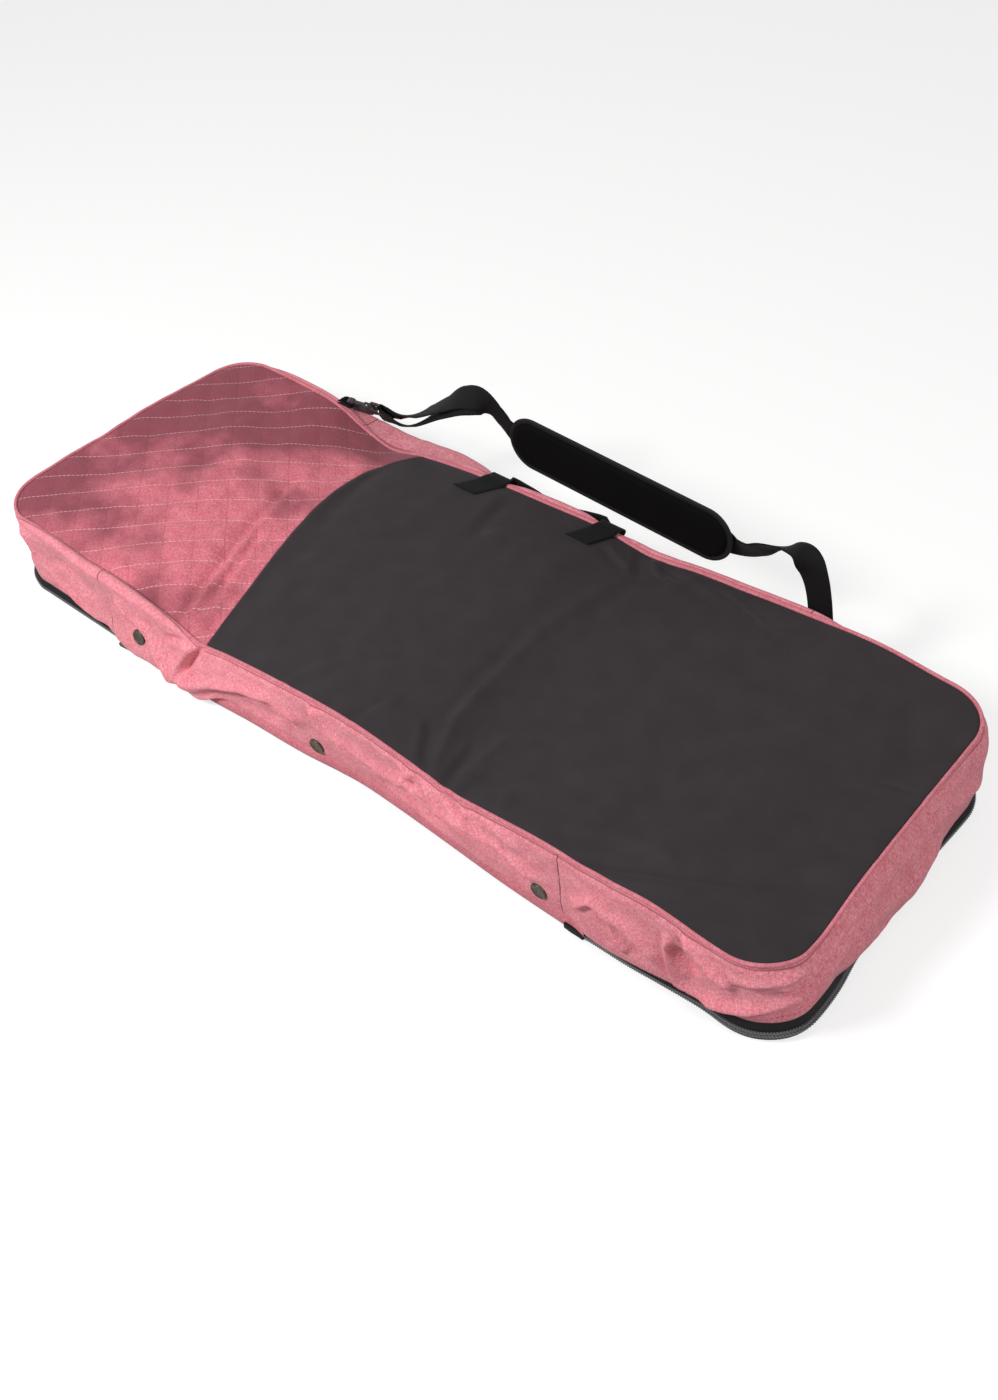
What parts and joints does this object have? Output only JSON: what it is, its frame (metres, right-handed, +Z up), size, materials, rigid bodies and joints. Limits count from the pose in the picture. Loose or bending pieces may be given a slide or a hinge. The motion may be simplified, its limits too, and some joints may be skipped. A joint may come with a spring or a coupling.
{
  "type": "snowboard bag",
  "caption": "Padded board bag whose lid opens on a front fabric hinge with a coil zipper, a side carry handle and a detachable padded shoulder strap on swivel snap hooks.",
  "frame": {"origin": "centre of the base panel's underside, on the surface that the bag rests on", "axes": "+X along the bag from its quilted end to its plain black end, +Y towards the long edge with the handle and strap, +Z up out of the lid"},
  "size_m": [1.447, 0.5987, 0.2528],
  "materials": {
    "black_fabric": "matte",
    "rose_fabric": "matte",
    "pink_fabric": "matte",
    "lining_fabric": "matte",
    "foam": "matte",
    "webbing": "matte",
    "black_plastic": "matte",
    "bronze": "satin",
    "steel": "satin"
  },
  "bodies": {
    "root": {"base_panel": "black_fabric", "base_foam": "foam", "base_lining": "lining_fabric", "zip_tape_lower": "webbing", "zip_coil_lower": "black_plastic", "hinge_strip": "black_fabric"},
    "lid": {"top_foam": "foam", "top_lining": "lining_fabric", "top_black_panel": "black_fabric", "top_quilted_panel": "rose_fabric", "gusset_front": "pink_fabric", "gusset_back": "pink_fabric", "gusset_left": "pink_fabric", "gusset_right": "pink_fabric", "gusset_lining": "lining_fabric", "vent_left": "bronze", "vent_washer_left": "bronze", "vent_middle": "bronze", "vent_washer_middle": "bronze", "vent_right": "bronze", "vent_washer_right": "bronze", "piping": "pink_fabric", "zip_tape_upper": "webbing", "zip_coil_upper": "black_plastic", "zip_end_tab_left": "black_fabric", "zip_end_tab_right": "black_fabric", "handle_tab_left": "webbing", "handle_tab_right": "webbing", "web_frame_left": "black_plastic", "web_frame_right": "black_plastic", "strap_anchor_left": "webbing", "strap_anchor_right": "webbing"},
    "slider": {"zip_slider": "bronze"},
    "pull": {"zip_pull": "bronze", "pull_tab": "black_plastic"},
    "handle": {"carry_handle": "webbing"},
    "strap": {"shoulder_pad": "black_fabric", "pad_binding": "black_fabric", "pad_keepers": "webbing", "strap_back_webbing": "webbing", "strap_loop_webbing": "webbing", "strap_end_webbing": "webbing"},
    "adjuster": {"tri_glide": "black_plastic"},
    "hook_left": {"swivel_stud_left": "steel", "snap_hook_left": "black_plastic", "gate_pin_left": "steel", "gate_spring_left": "steel"},
    "gate_left": {"hook_gate_left": "black_plastic"},
    "hook_right": {"swivel_stud_right": "steel", "snap_hook_right": "black_plastic", "gate_pin_right": "steel", "gate_spring_right": "steel"},
    "gate_right": {"hook_gate_right": "black_plastic"}
  },
  "joints": [
    {"name": "lid_open", "type": "hinge", "parent": "root", "child": "lid", "pos_m": [0, -0.28, 0.002], "axis": [1, 0, 0], "range_deg": [0, 85], "deforming": ["hinge_strip"]},
    {"name": "zip_slide", "type": "slide", "parent": "lid", "child": "slider", "axis": [-1, 0, 0], "range_m": [0, 0.24]},
    {"name": "pull_flip", "type": "hinge", "parent": "slider", "child": "pull", "pos_m": [-0.3843, -0.2763, 0.008], "axis": [0, 0, 1], "range_deg": [0, 165]},
    {"name": "handle_swing", "type": "hinge", "parent": "lid", "child": "handle", "pos_m": [0, 0.262, 0.1318], "axis": [1, 0, 0], "range_deg": [0, 80]},
    {"name": "strap_swing", "type": "hinge", "parent": "lid", "child": "strap", "pos_m": [0, 0.268, 0.124], "axis": [1, 0, 0], "range_deg": [-110, 75], "deforming": ["strap_loop_webbing", "strap_end_webbing"]},
    {"name": "adjuster_slide", "type": "slide", "parent": "strap", "child": "adjuster", "axis": [0.9986, 0, -0.0523], "range_m": [0, 0.09], "deforming": ["strap_loop_webbing"]},
    {"name": "swivel_left", "type": "hinge", "parent": "lid", "child": "hook_left", "pos_m": [-0.372, 0.268, 0.141], "axis": [0.992, 0.025, 0.124], "range_deg": [-30, 30], "deforming": ["strap_anchor_left"]},
    {"name": "gate_left_press", "type": "hinge", "parent": "hook_left", "child": "gate_left", "pos_m": [-0.40847, 0.26367, 0.14328], "axis": [0.0781, -0.8922, -0.4448], "range_deg": [0, 20], "stiffness_Nm_per_rad": 0.02, "springref_deg": -20.05},
    {"name": "swivel_right", "type": "hinge", "parent": "lid", "child": "hook_right", "pos_m": [0.435, 0.2765, 0.031], "axis": [0, 0.0755, -0.9971], "range_deg": [-30, 30], "deforming": ["strap_anchor_right"]},
    {"name": "gate_right_press", "type": "hinge", "parent": "hook_right", "child": "gate_right", "pos_m": [0.4274, 0.27378, 0.0669], "axis": [0, 0.9971, 0.0755], "range_deg": [0, 20], "stiffness_Nm_per_rad": 0.02, "springref_deg": -20.05}
  ]
}
